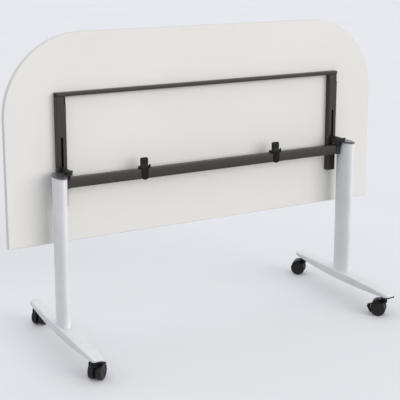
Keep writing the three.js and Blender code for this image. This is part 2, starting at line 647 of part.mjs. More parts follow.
function buildFoot(name, x) {
  const endY = FOOT_LENGTH / 2;
  const noseY = endY - FOOT_NOSE;
  const tipTop = FOOT_TOP - FOOT_TIP_DROP;
  const tipLow = tipTop - FOOT_TIP_THICK;
  const noseLow = tipLow + FOOT_NOSE_RISE;
  const capY = endY - (tipTop - noseLow);
  const side = new THREE.Shape();
  side.moveTo(-noseY, tipLow);
  side.quadraticCurveTo(0, 2 * FOOT_LOW - tipLow, noseY, tipLow);
  side.quadraticCurveTo(endY, footUnderside(endY), endY, noseLow);
  side.quadraticCurveTo(endY, tipTop, capY, tipTop);
  side.quadraticCurveTo(0, 2 * FOOT_TOP - tipTop, -capY, tipTop);
  side.quadraticCurveTo(-endY, tipTop, -endY, noseLow);
  side.quadraticCurveTo(-endY, footUnderside(endY), -noseY, tipLow);
  const tipHalf = FOOT_TIP_WIDTH / 2;
  const roundY = endY - FOOT_TIP_ROUND;
  const roundX = tipHalf - FOOT_TIP_ROUND;
  const bulge = FOOT_WIDTH - tipHalf;
  const plan = new THREE.Shape();
  plan.moveTo(x + tipHalf, -roundY);
  plan.quadraticCurveTo(x + bulge, 0, x + tipHalf, roundY);
  plan.absarc(x + roundX, roundY, FOOT_TIP_ROUND, 0, Math.PI / 2, false);
  plan.absarc(x - roundX, roundY, FOOT_TIP_ROUND, Math.PI / 2, Math.PI, false);
  plan.quadraticCurveTo(x - bulge, 0, x - tipHalf, -roundY);
  plan.absarc(x - roundX, -roundY, FOOT_TIP_ROUND, Math.PI, 1.5 * Math.PI, false);
  plan.absarc(x + roundX, -roundY, FOOT_TIP_ROUND, 1.5 * Math.PI, 2 * Math.PI, false);
  const reach = FOOT_WIDTH;
  const bow = prismX(side, x - reach, x + reach);
  const body = bow.intersect(prismZ(plan, FOOT_LOW - reach, FOOT_TOP + reach));
  const spigot = prismZ(
    oval(x, COLUMN_WIDTH / 2 - COLUMN_WALL - CLEARANCE, COLUMN_DEPTH / 2 - COLUMN_WALL - CLEARANCE),
    FOOT_TOP - FOOT_THICK / 2, FOOT_TOP + SPIGOT_HEIGHT,
  );
  const low = FOOT_LOW - OVERCUT;
  const high = FOOT_TOP + SPIGOT_HEIGHT + OVERCUT;
  const seatTop = FOOT_LOW + FOOT_BOLT_HEAD + 2 * CLEARANCE;
  const boltHole = rodZ(FOOT_BOLT_RADIUS + CLEARANCE, low, high, x, 0, SMALL_SIDES);
  const boltSeat = rodZ(FOOT_BOLT_HEAD_RADIUS + CLEARANCE, low, seatTop, x, 0, SMALL_SIDES);
  const sockets = [-1, 1].map((end) => (
    rodZ(STEM_RADIUS + CLEARANCE, FOOT_LOW, STEM_TOP + CLEARANCE, x, end * STEM_Y)
  ));
  add(table, `foot_${name}`, 'white_casting', cut(join(body, spigot), boltHole, boltSeat, ...sockets));
}

// Height of the foot's bowed underside at a distance from the column
function footUnderside(y) {
  const noseY = FOOT_LENGTH / 2 - FOOT_NOSE;
  const tipLow = FOOT_TOP - FOOT_TIP_DROP - FOOT_TIP_THICK;
  return FOOT_LOW + (tipLow - FOOT_LOW) * (y / noseY) ** 2;
}

// Casters, each drawn trailing along +Y from its stem and then turned to its heading

function buildWheel(parent, name, hand) {
  const r = WHEEL_RADIUS;
  const w = WHEEL_WIDTH;
  const edge = WHEEL_EDGE;
  const bore = AXLE_RADIUS + RUNNING_GAP;
  const profile = [
    [bore, 0], [r - edge, 0], [r, edge], [r, w - 2.5 * edge], [r - edge / 2, w - edge],
    [r - 2 * edge, w], [r - 4 * edge, w], [r - 4.5 * edge, w - edge],
    [HUB_RADIUS, w - 1.5 * edge], [bore, w - 1.5 * edge], [bore, 0],
  ];
  const flats = 1 / Math.cos(Math.PI / WHEEL_SIDES);
  const points = profile.map(([radius, depth]) => new THREE.Vector2(radius * flats, depth));
  const geometry = new THREE.LatheGeometry(points, WHEEL_SIDES);
  geometry.rotateY(Math.PI / WHEEL_SIDES);
  geometry.rotateZ(-Math.PI / 2);
  geometry.translate(WHEEL_GAP / 2, CASTER_TRAIL, WHEEL_RADIUS);
  add(parent, name, 'tread', onSide(solid(geometry), hand));
}

function buildHood(parent, caster) {
  const axleZ = WHEEL_RADIUS;
  const skirtInside = WHEEL_OUTSIDE + HOOD_SIDE_GAP;
  const half = skirtInside + HOOD_SIDE_WALL;
  const webHalf = WHEEL_GAP / 2 - HOOD_SIDE_GAP;
  const bossLow = STEM_LOW - BOSS_FLOOR;
  const bossTop = FLANGE_TOP - STEM_FLANGE_THICK - CLEARANCE;
  const sector = new THREE.Shape();
  sector.absarc(CASTER_TRAIL, axleZ, HOOD_OUTER, HOOD_START, HOOD_END, false);
  sector.lineTo(CASTER_TRAIL, axleZ);
  const parts = [prismX(sector, -half, half), rodZ(BOSS_RADIUS, bossLow, bossTop, 0, 0)];
  if (caster.braked) {
    parts.push(leverLug(), brakeShoe());
  }
  const room = (r, x0, x1) => [rodX(r, x0, x1, CASTER_TRAIL, axleZ), rodX(r, -x1, -x0, CASTER_TRAIL, axleZ)];
  const opened = cut(
    join(...parts),
    ...room(HOOD_INNER, webHalf, skirtInside),
    ...room(HOOD_OUTER - HOOD_SKIRT, webHalf, half + OVERCUT),
  );
  const web = rodX(HOOD_WEB_RADIUS, -webHalf, webHalf, CASTER_TRAIL, axleZ);
  const socket = rodZ(STEM_RADIUS + CLEARANCE, STEM_LOW - CLEARANCE, bossTop + OVERCUT, 0, 0);
  const axleHole = rodX(AXLE_RADIUS + CLEARANCE / 3, -half, half, CASTER_TRAIL, axleZ);
  add(parent, `caster_hood_${caster.name}`, 'black_plastic', cut(join(opened, web), socket, axleHole));
}

// Lug on the hood's leading edge with the lever's pin across it
function leverLug() {
  const lugHalf = LEVER_WIDTH / 4;
  const shape = new THREE.Shape();
  shape.moveTo(CASTER_TRAIL, WHEEL_RADIUS);
  shape.lineTo(LEVER_Y, LEVER_Z - LEVER_THICK);
  shape.lineTo(LEVER_Y, LEVER_Z + LEVER_THICK);
  const pin = rodX(
    LEVER_PIN_RADIUS, LEVER_X - LEVER_WIDTH / 2, LEVER_X + LEVER_WIDTH / 2, LEVER_Y, LEVER_Z, SMALL_SIDES,
  );
  const eye = rodX(LEVER_THICK, LEVER_X - lugHalf, LEVER_X + lugHalf, LEVER_Y, LEVER_Z, SMALL_SIDES);
  return join(prismX(shape, LEVER_X - lugHalf, LEVER_X + lugHalf), eye, pin);
}

// Brake shoe: follows the tread down from the hood and ends in a stub
function brakeShoe() {
  const at = (radius, turn) => [
    CASTER_TRAIL + radius * Math.cos(turn), WHEEL_RADIUS + radius * Math.sin(turn),
  ];
  const tab = (HOOD_START + SHOE_START) / 2 + (HOOD_START - SHOE_START) / 4;
  const drop = SHOE_THICK / (HOOD_INNER + SHOE_REACH);
  const shape = outline([
    at(0, 0),
    at(HOOD_OUTER, SHOE_START),
    at(HOOD_INNER + SHOE_THICK, tab - 3 * drop),
    at(HOOD_INNER + SHOE_REACH, tab - drop),
    at(HOOD_INNER + SHOE_REACH, tab),
    at(HOOD_OUTER, HOOD_START),
    at(HOOD_OUTER, (HOOD_START + HOOD_END) / 2),
  ]);
  return prismX(shape, -WHEEL_OUTSIDE, -WHEEL_OUTSIDE + SHOE_WIDTH);
}

// Brake lever: a fork on the hood's lug and a pedal that rises away from the wheels
function buildLever(parent) {
  const half = LEVER_WIDTH / 2;
  const forkInner = LEVER_WIDTH / 4 + CLEARANCE;
  const eye = LEVER_PIN_RADIUS + LEVER_THICK / 2;
  const bend = -LEVER_THICK - eye;
  const side = new THREE.Shape();
  side.absarc(0, 0, eye, -Math.PI / 2, Math.PI / 2, false);
  side.lineTo(bend, LEVER_THICK / 2);
  side.lineTo(-LEVER_LENGTH, LEVER_THICK / 2);
  side.lineTo(-LEVER_LENGTH, -LEVER_THICK / 2);
  side.lineTo(bend, -LEVER_THICK / 2);
  const place = new THREE.Matrix4().makeTranslation(LEVER_X, LEVER_Y, LEVER_Z);
  place.multiply(new THREE.Matrix4().makeRotationX(-LEVER_RISE));
  const plate = prismX(side, -half, half);
  const gap = block(-forkInner, forkInner, bend, 2 * eye, -2 * eye, 2 * eye);
  const hole = rodX(LEVER_PIN_RADIUS + CLEARANCE, -half - OVERCUT, half + OVERCUT, 0, 0, SMALL_SIDES);
  add(parent, 'brake_lever', 'black_plastic', cut(plate, gap, hole).transform(place.elements));
}

function buildCaster(caster) {
  const parent = new THREE.Group();
  parent.position.set(caster.side * COLUMN_X, caster.end * STEM_Y, 0);
  parent.rotation.z = -THREE.MathUtils.degToRad(caster.heading);
  buildHood(parent, caster);
  const axle = rodX(AXLE_RADIUS, -AXLE_HALF, AXLE_HALF, CASTER_TRAIL, WHEEL_RADIUS);
  add(parent, `caster_axle_${caster.name}`, 'steel', axle);
  buildWheel(parent, `caster_wheel_${caster.name}_1`, -1);
  buildWheel(parent, `caster_wheel_${caster.name}_2`, 1);
  const stem = join(
    rodZ(STEM_RADIUS, STEM_LOW, STEM_TOP, 0, 0),
    rodZ(STEM_FLANGE, FLANGE_TOP - STEM_FLANGE_THICK, FLANGE_TOP, 0, 0),
  );
  add(parent, `caster_stem_${caster.name}`, 'steel', stem);
  if (caster.braked) {
    buildLever(parent);
  }
  table.add(parent);
}

buildBoard();
buildRail();
buildBeam();
for (const { name, side } of SIDES) {
  buildChannel(name, side * CHANNEL_X);
  buildLatch(name, side * CHANNEL_X);
  buildRest(name, (side * REST_SPACING) / 2);
  buildSaddle(name, side);
  buildColumn(name, side * COLUMN_X);
  buildFoot(name, side * COLUMN_X);
}
CASTERS.forEach(buildCaster);

export default table;
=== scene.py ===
# %% [markdown]
# # Dressing a flip top training table
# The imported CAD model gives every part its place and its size, in metres. This lesson puts
# softer edges, rounder tubes and real finishes on that frame. The table stands with its top
# swung up, so most of what shows is the white underside and the dark folding frame on it.

# %% Load the frame
import json
import math

import bmesh
import bpy
from mathutils import Matrix, Vector

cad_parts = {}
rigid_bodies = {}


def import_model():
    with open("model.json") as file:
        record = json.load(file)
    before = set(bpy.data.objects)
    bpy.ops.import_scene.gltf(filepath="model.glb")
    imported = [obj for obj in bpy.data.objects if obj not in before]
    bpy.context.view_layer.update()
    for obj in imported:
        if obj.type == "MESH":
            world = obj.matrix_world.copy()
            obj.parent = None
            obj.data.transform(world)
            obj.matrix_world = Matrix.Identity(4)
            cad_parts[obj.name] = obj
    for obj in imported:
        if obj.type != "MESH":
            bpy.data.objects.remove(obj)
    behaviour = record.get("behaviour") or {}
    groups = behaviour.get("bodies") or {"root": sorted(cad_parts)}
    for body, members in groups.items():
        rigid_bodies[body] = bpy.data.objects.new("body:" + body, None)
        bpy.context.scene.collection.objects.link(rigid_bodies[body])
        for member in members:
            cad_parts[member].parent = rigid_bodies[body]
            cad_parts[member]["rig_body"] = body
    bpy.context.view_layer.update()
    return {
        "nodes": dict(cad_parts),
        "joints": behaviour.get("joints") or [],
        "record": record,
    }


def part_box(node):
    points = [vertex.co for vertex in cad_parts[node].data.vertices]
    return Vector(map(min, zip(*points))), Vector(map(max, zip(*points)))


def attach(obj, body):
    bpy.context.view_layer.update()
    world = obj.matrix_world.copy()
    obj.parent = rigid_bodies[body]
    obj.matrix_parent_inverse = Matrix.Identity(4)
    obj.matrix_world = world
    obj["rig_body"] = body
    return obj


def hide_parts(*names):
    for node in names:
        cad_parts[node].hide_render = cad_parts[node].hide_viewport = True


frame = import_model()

MM = 0.001
MERGE = 1e-6
slot_of = {row["node"]: row["material_slot"] for row in frame["record"]["subparts"]}
joint_of = {joint["name"]: joint for joint in frame["joints"]}

# %% [markdown]
# ## Camera
# The photograph is taken from the front left, a little above the raised top, with a long lens.
# A long lens keeps the far column nearly as large as the near one. A constraint could aim the
# camera, but plain yaw and pitch are easier to tune one at a time. A small lens shift puts the
# casters inside the frame without tipping the camera further.

# %% Camera
CAMERA_PLACE = (-1.8426, -3.2297, 1.5024)
CAMERA_YAW = math.radians(28.9)
CAMERA_PITCH = math.radians(11.71)
CAMERA_SENSOR = 36.0
CAMERA_LENS = 89.24
CAMERA_SHIFT = -0.15

camera_data = bpy.data.cameras.new("photo_camera")
camera_data.sensor_width = CAMERA_SENSOR
camera_data.lens = CAMERA_LENS
camera_data.shift_y = CAMERA_SHIFT
camera = bpy.data.objects.new("photo_camera", camera_data)
camera.location = CAMERA_PLACE
camera.rotation_euler = (math.pi / 2 - CAMERA_PITCH, 0, -CAMERA_YAW)
bpy.context.scene.collection.objects.link(camera)
bpy.context.scene.camera = camera
print("camera lens", CAMERA_LENS, "mm, pitched", round(math.degrees(CAMERA_PITCH), 1), "degrees")

# %% [markdown]
# ## Light
# The picture is a studio shot with almost no hard shadow. Two suns act as softboxes: a warm key,
# low and a little to the right, and a weak one from behind for the work surface. The key leaves
# the left sides of the legs in shade and draws a thin shadow to the left of the frame. Area lamps
# would do too, but a sun has no edge and no distance, so the light is even all along the table.

# %% Softboxes
KEY_COLOUR = (1.0, 0.945, 0.92)
KEY_LEVEL = 1.68
KEY_SPREAD = math.radians(46)
KEY_FROM = Vector((0.42, -0.89, 0.18))
BACK_COLOUR = (0.95, 0.98, 1.0)
BACK_LEVEL = 0.31
BACK_SPREAD = math.radians(120)
BACK_FROM = Vector((-0.2, 0.9, 0.7))


def hang_softbox(name, colour, level, spread_angle, comes_from):
    lamp = bpy.data.lights.new(name, "SUN")
    lamp.color = colour
    lamp.energy = level
    lamp.angle = spread_angle
    softbox = bpy.data.objects.new(name, lamp)
    softbox.rotation_euler = comes_from.to_track_quat("Z", "Y").to_euler()
    bpy.context.scene.collection.objects.link(softbox)


hang_softbox("key_softbox", KEY_COLOUR, KEY_LEVEL, KEY_SPREAD, KEY_FROM)
hang_softbox("back_softbox", BACK_COLOUR, BACK_LEVEL, BACK_SPREAD, BACK_FROM)
print("softboxes at", KEY_LEVEL, "and", BACK_LEVEL)

# %% [markdown]
# ### Sky
# A bright, cool sky fills the shade evenly. From a low angle the camera looks past the floor's
# edge into it, and there it has to be as pale as the floor. So the rays that look, straight or in
# a reflection, find a pale backdrop, and only the rest are lit by the sky. The helper that tells
# the two kinds of ray apart serves the floor as well.

# %% Sky
SKY_COLOUR = (0.94, 0.971, 1.0)
SKY_LEVEL = 0.87
BACKDROP_COLOUR = (0.785, 0.79, 0.825)


def split_by_ray(tree, lighting, looking, surface):
    rays = tree.nodes.new("ShaderNodeLightPath")
    looks = rays.outputs["Is Camera Ray"]
    for kind in ("Is Glossy Ray", "Is Transmission Ray"):
        either = tree.nodes.new("ShaderNodeMath")
        either.operation = "MAXIMUM"
        tree.links.new(looks, either.inputs[0])
        tree.links.new(rays.outputs[kind], either.inputs[1])
        looks = either.outputs["Value"]
    choice = tree.nodes.new("ShaderNodeMixShader")
    tree.links.new(looks, choice.inputs["Fac"])
    tree.links.new(lighting, choice.inputs[1])
    tree.links.new(looking, choice.inputs[2])
    tree.links.new(choice.outputs["Shader"], surface)


bpy.context.scene.view_settings.view_transform = "Standard"
sky = bpy.data.worlds.new("studio_sky")
bpy.context.scene.world = sky
sky.use_nodes = True
sky_nodes = sky.node_tree.nodes
fill = sky_nodes["Background"]
fill.inputs["Color"].default_value = (*SKY_COLOUR, 1)
fill.inputs["Strength"].default_value = SKY_LEVEL
backdrop = sky_nodes.new("ShaderNodeBackground")
backdrop.inputs["Color"].default_value = (*BACKDROP_COLOUR, 1)
split_by_ray(
    sky.node_tree, fill.outputs["Background"], backdrop.outputs["Background"],
    sky_nodes["World Output"].inputs["Surface"],
)
print("sky fills at", SKY_LEVEL, "behind a pale backdrop")

# %% [markdown]
# ## Materials
# Each finish is a small node tree. The pattern always starts from Object coordinates, so it
# stays with the piece in every pose. Helpers make the nodes that all finishes share: a texture, a
# ramp that turns it into colours and a range that turns it into roughness. The last one ties both
# to the shader and adds a bump for the fine relief.

# %% Node helpers
NOISE_LOW, NOISE_HIGH = 0.3, 0.7


def new_finish(name, roughness, metallic=0.0, specular=0.5):
    finish = bpy.data.materials.new(name)
    finish.use_nodes = True
    shader = finish.node_tree.nodes["Principled BSDF"]
    shader.inputs["Roughness"].default_value = roughness
    shader.inputs["Metallic"].default_value = metallic
    shader.inputs["Specular IOR Level"].default_value = specular
    return finish, shader


def object_coordinates(finish, stretch=(1, 1, 1)):
    nodes, links = finish.node_tree.nodes, finish.node_tree.links
    coordinates = nodes.new("ShaderNodeTexCoord")
    mapping = nodes.new("ShaderNodeMapping")
    mapping.inputs["Scale"].default_value = stretch
    links.new(coordinates.outputs["Object"], mapping.inputs["Vector"])
    return mapping.outputs["Vector"]


def noise(finish, vector, scale, detail=3.0, roughness=0.5):
    texture = finish.node_tree.nodes.new("ShaderNodeTexNoise")
    texture.inputs["Scale"].default_value = scale
    texture.inputs["Detail"].default_value = detail
    texture.inputs["Roughness"].default_value = roughness
    finish.node_tree.links.new(vector, texture.inputs["Vector"])
    return texture.outputs["Fac"]


def pebbles(finish, vector, scale):
    texture = finish.node_tree.nodes.new("ShaderNodeTexVoronoi")
    texture.feature = "SMOOTH_F1"
    texture.inputs["Scale"].default_value = scale
    finish.node_tree.links.new(vector, texture.inputs["Vector"])
    return texture.outputs["Distance"]


def ramp(finish, value, low, high, start=0.35, end=0.65):
    node = finish.node_tree.nodes.new("ShaderNodeValToRGB")
    node.color_ramp.elements[0].position = start
    node.color_ramp.elements[0].color = (*low, 1)
    node.color_ramp.elements[1].position = end
    node.color_ramp.elements[1].color = (*high, 1)
    finish.node_tree.links.new(value, node.inputs["Fac"])
    return node.outputs["Color"]


def spread(finish, value, low, high):
    node = finish.node_tree.nodes.new("ShaderNodeMapRange")
    node.inputs["From Min"].default_value = NOISE_LOW
    node.inputs["From Max"].default_value = NOISE_HIGH
    node.inputs["To Min"].default_value = low
    node.inputs["To Max"].default_value = high
    finish.node_tree.links.new(value, node.inputs["Value"])
    return node.outputs["Result"]


def lay_on(finish, shader, tone, gloss, height, depth, strength):
    links = finish.node_tree.links
    relief = finish.node_tree.nodes.new("ShaderNodeBump")
    relief.inputs["Strength"].default_value = strength
    relief.inputs["Distance"].default_value = depth
    links.new(height, relief.inputs["Height"])
    links.new(relief.outputs["Normal"], shader.inputs["Normal"])
    links.new(tone, shader.inputs["Base Color"])
    links.new(gloss, shader.inputs["Roughness"])
    return finish


def shade(colour, factor):
    return tuple(channel * factor for channel in colour)


print("node helpers ready")

# %% [markdown]
# ### Floor
# The floor is a plain pale sheet, a little cooler than the table. It is very large, so its far
# edge never shows, and it isn't part of the table. A floor as pale as this would throw light up
# and wash out the shade under rail and beam. In the picture it throws little, so the rays that
# don't look at it meet a dimmer floor.

# %% Floor
FLOOR_COLOUR = (0.807, 0.801, 0.825)
FLOOR_MOTTLE = 0.008
FLOOR_THROWS_BACK = (0.4, 0.4, 0.4)
FLOOR_HALF = 60.0
FLOOR_SQUARES = 8

floor_finish, floor_shader = new_finish("studio_floor", roughness=0.9, specular=0.1)
floor_place = object_coordinates(floor_finish)
floor_clouds = noise(floor_finish, floor_place, scale=0.8, detail=2.0)
floor_pale = shade(FLOOR_COLOUR, 1 + FLOOR_MOTTLE)
floor_deep = shade(FLOOR_COLOUR, 1 - FLOOR_MOTTLE)
floor_finish.node_tree.links.new(
    ramp(floor_finish, floor_clouds, floor_deep, floor_pale), floor_shader.inputs["Base Color"]
)
dim_floor = floor_finish.node_tree.nodes.new("ShaderNodeBsdfDiffuse")
dim_floor.inputs["Color"].default_value = (*FLOOR_THROWS_BACK, 1)
split_by_ray(
    floor_finish.node_tree, dim_floor.outputs["BSDF"], floor_shader.outputs["BSDF"],
    floor_finish.node_tree.nodes["Material Output"].inputs["Surface"],
)
floor_bm = bmesh.new()
bmesh.ops.create_grid(
    floor_bm, x_segments=FLOOR_SQUARES, y_segments=FLOOR_SQUARES, size=FLOOR_HALF
)
floor_mesh = bpy.data.meshes.new("studio_floor")
floor_bm.to_mesh(floor_mesh)
floor_bm.free()
floor_mesh.materials.append(floor_finish)
floor = bpy.data.objects.new("studio_floor", floor_mesh)
bpy.context.scene.collection.objects.link(floor)
print("floor", 2 * FLOOR_HALF, "m across")

# %% [markdown]
# ### Laminate and edging
# The board is faced with matt white laminate. Up close it has a faint stipple and a very slow
# drift of tone. The edge band is a warmer plastic strip with fine lines along its length. One
# noise does for the lines, because stretched coordinates draw it out.

# %% Laminate and edging
LAMINATE_COLOUR = (0.785, 0.772, 0.745)
EDGING_COLOUR = (0.70, 0.69, 0.665)
LINE_STRETCH = (1, 60, 1)


def make_laminate():
    finish, shader = new_finish("matt_laminate", roughness=0.55, specular=0.35)
    place = object_coordinates(finish)
    drift = noise(finish, place, scale=2.2, detail=2.0)
    stipple = noise(finish, place, scale=900.0, detail=2.0)
    tone = ramp(finish, drift, shade(LAMINATE_COLOUR, 0.985), shade(LAMINATE_COLOUR, 1.012))
    gloss = spread(finish, stipple, 0.48, 0.62)
    return lay_on(finish, shader, tone, gloss, stipple, depth=0.04 * MM, strength=0.5)


def make_edging():
    finish, shader = new_finish("edge_strip", roughness=0.42, specular=0.45)
    place = object_coordinates(finish, stretch=LINE_STRETCH)
    lines = noise(finish, place, scale=40.0, detail=4.0)
    tone = ramp(finish, lines, shade(EDGING_COLOUR, 0.97), shade(EDGING_COLOUR, 1.02))
    gloss = spread(finish, lines, 0.36, 0.5)
    return lay_on(finish, shader, tone, gloss, lines, depth=0.05 * MM, strength=0.4)


finishes = {"laminate": make_laminate(), "edging": make_edging()}
print("board finishes:", ", ".join(finishes))

# %% [markdown]
# ### Powder coat
# Legs and frame are powder coated. The coat melts into a skin with a fine orange peel, which
# shows as small lumps in the highlights. Noise alone looks like dust there, so the lumps are soft
# Voronoi cells. The white legs are smooth and satin, the anthracite frame is darker and warmer,
# and the castings have a coarser skin than the drawn tubes.

# %% Powder coat
WHITE_COLOUR = (0.755, 0.76, 0.775)
ANTHRACITE_COLOUR = (0.028, 0.0225, 0.016)
CASTING_COLOUR = (0.026, 0.027, 0.031)
COAT_CLOUDS = 14.0
SPECKS_PER_LUMP = 2.5
SPECK_GLOSS = (-0.05, 0.07)


def make_powder_coat(
    name, colour, roughness, peel_scale, peel_depth, tone_range=0.03, specular=0.45
):
    finish, shader = new_finish(name, roughness=roughness, specular=specular)
    place = object_coordinates(finish)
    peel = pebbles(finish, place, peel_scale)
    clouds = noise(finish, place, scale=COAT_CLOUDS)
    specks = noise(finish, place, scale=peel_scale * SPECKS_PER_LUMP, detail=1.0)
    tone = ramp(finish, clouds, shade(colour, 1 - tone_range), shade(colour, 1 + tone_range))
    gloss = spread(finish, specks, *(roughness + step for step in SPECK_GLOSS))
    return lay_on(finish, shader, tone, gloss, peel, depth=peel_depth, strength=0.6)


finishes["white_coat"] = make_powder_coat(
    "white_powder_coat", WHITE_COLOUR, roughness=0.4, peel_scale=420.0, peel_depth=0.06 * MM
)
finishes["white_casting"] = make_powder_coat(
    "white_cast_coat", WHITE_COLOUR, roughness=0.44, peel_scale=300.0, peel_depth=0.1 * MM
)
finishes["anthracite"] = make_powder_coat(
    "anthracite_powder_coat", ANTHRACITE_COLOUR, roughness=0.36, peel_scale=500.0,
    peel_depth=0.08 * MM, tone_range=0.06, specular=0.4,
)
finishes["dark_casting"] = make_powder_coat(
    "dark_cast_coat", CASTING_COLOUR, roughness=0.48, peel_scale=330.0,
    peel_depth=0.1 * MM, tone_range=0.07,
)
finishes["dark_steel"] = make_powder_coat(
    "dark_steel_coat", CASTING_COLOUR, roughness=0.44, peel_scale=480.0,
    peel_depth=0.07 * MM, tone_range=0.06,
)
print("finishes so far:", len(finishes))

# %% [markdown]
# ### Moulded plastic, tread, steel and nylon
# Caps, rests and hoods are moulded plastic with a spark-eroded grain. The wheels are a duller
# plastic with a trace of floor dust on the running surface. Axles and stems are zinc plated, with
# a drawn grain along the bar. The bushes are plain nylon. Now every slot of the record has its
# finish, and each CAD node gets the one that its slot names.

# %% Moulded plastic, tread, steel and nylon
CAP_COLOUR = (0.072, 0.074, 0.086)
BLACK_COLOUR = (0.0055, 0.0053, 0.005)
TREAD_COLOUR = (0.0095, 0.0095, 0.0098)
DUST_COLOUR = (0.026, 0.025, 0.023)
ZINC_COLOUR = (0.16, 0.16, 0.17)
NYLON_COLOUR = (0.55, 0.53, 0.47)
FLOW_SCALE = 30.0
FLOW_GLOSS = (-0.06, 0.08)
DRAWN_STRETCH = (1, 1, 12)


def make_moulded_plastic(name, colour, roughness, grain_scale, specular=0.18):
    finish, shader = new_finish(name, roughness=roughness, specular=specular)
    place = object_coordinates(finish)
    grain = pebbles(finish, place, grain_scale)
    flow = noise(finish, place, scale=FLOW_SCALE, detail=2.0)
    tone = ramp(finish, flow, shade(colour, 0.9), shade(colour, 1.12))
    gloss = spread(finish, flow, *(roughness + step for step in FLOW_GLOSS))
    return lay_on(finish, shader, tone, gloss, grain, depth=0.05 * MM, strength=0.5)


def make_tread():
    finish, shader = new_finish("wheel_tread", roughness=0.4, specular=0.3)
    place = object_coordinates(finish)
    dust = noise(finish, place, scale=120.0, detail=5.0, roughness=0.65)
    grain = noise(finish, place, scale=700.0)
    tone = ramp(finish, dust, TREAD_COLOUR, DUST_COLOUR, start=0.52, end=0.85)
    gloss = spread(finish, dust, 0.3, 0.55)
    return lay_on(finish, shader, tone, gloss, grain, depth=0.04 * MM, strength=0.5)


def make_zinc():
    finish, shader = new_finish("zinc_plate", roughness=0.36, metallic=1.0)
    place = object_coordinates(finish, stretch=DRAWN_STRETCH)
    drawn = noise(finish, place, scale=160.0, detail=4.0)
    tone = ramp(finish, drawn, shade(ZINC_COLOUR, 0.85), shade(ZINC_COLOUR, 1.12))
    gloss = spread(finish, drawn, 0.28, 0.46)
    return lay_on(finish, shader, tone, gloss, drawn, depth=0.03 * MM, strength=0.4)


finishes["cap_plastic"] = make_moulded_plastic(
    "cap_plastic", CAP_COLOUR, roughness=0.24, grain_scale=900.0, specular=0.75
)
finishes["black_plastic"] = make_moulded_plastic(
    "black_plastic", BLACK_COLOUR, roughness=0.34, grain_scale=1100.0, specular=0.15
)
finishes["nylon"] = make_moulded_plastic(
    "bush_nylon", NYLON_COLOUR, roughness=0.5, grain_scale=800.0
)
finishes["tread"] = make_tread()
finishes["steel"] = make_zinc()
for node, cad_object in frame["nodes"].items():
    cad_object.data.materials.clear()
    cad_object.data.materials.append(finishes[slot_of[node]])
print("every CAD node has one of", len(finishes), "finishes")

# %% [markdown]
# ## From a bmesh to a piece
# Each new piece starts as a bmesh and ends as an object at the origin that stands for its CAD
# node. The helper merges doubled points, turns the faces outwards, smooths everything flatter
# than a chosen angle, and ties the piece to the body its node moves with.

# %% From a bmesh to a piece
def place_piece(bm, node, crease=32):
    bmesh.ops.remove_doubles(bm, verts=bm.verts, dist=MERGE)
    bmesh.ops.recalc_face_normals(bm, faces=bm.faces)
    mesh = bpy.data.meshes.new(node + "_finished")
    bm.to_mesh(mesh)
    bm.free()
    mesh.polygons.foreach_set("use_smooth", [True] * len(mesh.polygons))
    mesh.set_sharp_from_angle(angle=math.radians(crease))
    mesh.materials.append(finishes[slot_of[node]])
    piece = bpy.data.objects.new(node + "_finished", mesh)
    bpy.context.scene.collection.objects.link(piece)
    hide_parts(node)
    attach(piece, frame["nodes"][node]["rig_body"])
    return piece


def node_box(node):
    low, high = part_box(node)
    return Vector(low), Vector(high)


print("pieces stand at the origin, like the CAD nodes")

# %% [markdown]
# ### Shaping helpers
# Most pieces need the same few moves: a bevel along edges, a bevel at corners, an inset border
# and a raised face. The bevels aren't clamped, because a single short edge would then shrink the
# radius of the whole piece. So each radius is chosen to suit the thinnest wall. A piece whose
# shape is already right starts as a merged copy of its CAD node, and only its sharp edges change.

# %% Shaping helpers
FLAT_LIMIT = math.radians(0.5)


def soften(bm, edges, radius, segments=3):
    bmesh.ops.recalc_face_normals(bm, faces=bm.faces)
    bmesh.ops.bevel(
        bm, geom=edges, offset=radius, offset_type="OFFSET", segments=segments, profile=0.5,
        affect="EDGES", clamp_overlap=False, material=-1,
    )


def round_corners(bm, verts, radius, segments):
    bmesh.ops.bevel(
        bm, geom=verts, offset=radius, offset_type="OFFSET", segments=segments, profile=0.5,
        affect="VERTICES", clamp_overlap=False, material=-1,
    )


def inset_edge(bm, faces, width):
    bm.normal_update()
    made = bmesh.ops.inset_region(
        bm, faces=faces, thickness=width, use_even_offset=True, use_boundary=True
    )
    return made["faces"]


def raise_faces(bm, faces, step):
    grown = bmesh.ops.extrude_face_region(bm, geom=faces)
    verts = [item for item in grown["geom"] if isinstance(item, bmesh.types.BMVert)]
    bmesh.ops.translate(bm, verts=verts, vec=step)
    return [item for item in grown["geom"] if isinstance(item, bmesh.types.BMFace)]


def merged_copy(node):
    bm = bmesh.new()
    bm.from_mesh(frame["nodes"][node].data)
    bmesh.ops.remove_doubles(bm, verts=bm.verts, dist=MERGE)
    bmesh.ops.dissolve_limit(bm, angle_limit=FLAT_LIMIT, verts=bm.verts, edges=bm.edges)
    return bm


def sharp_edges(bm, steeper_than):
    limit = math.radians(steeper_than)
    return [e for e in bm.edges if len(e.link_faces) == 2 and e.calc_face_angle(0) > limit]


def soft_copy(node, radius):
    bm = merged_copy(node)
    soften(bm, sharp_edges(bm, steeper_than=40), radius)
    return place_piece(bm, node)


print("shaping helpers ready")

# %% [markdown]
# ## Board and edge band
# The top is one board with two large round corners on its user's side, which point up here. A
# curve could draw that outline, but a rectangle of four points does as well: bevelling its two
# upper points as vertices rounds them by a plain number. An inset then splits the face into the
# board and a two millimetre band round it.

# %% Board and edge band
BAND_THICK = 2.0 * MM
BAND_SEAM = 0.06 * MM
BAND_ROUND = 1.6 * MM
CORNER_RADIUS = 300.0 * MM
CORNER_STEPS = 56
FACE_ON, EDGE_ON = 0.9, 0.1

band_low, band_high = node_box("edge_band")
board_thick = (0, band_high.y - band_low.y, 0)


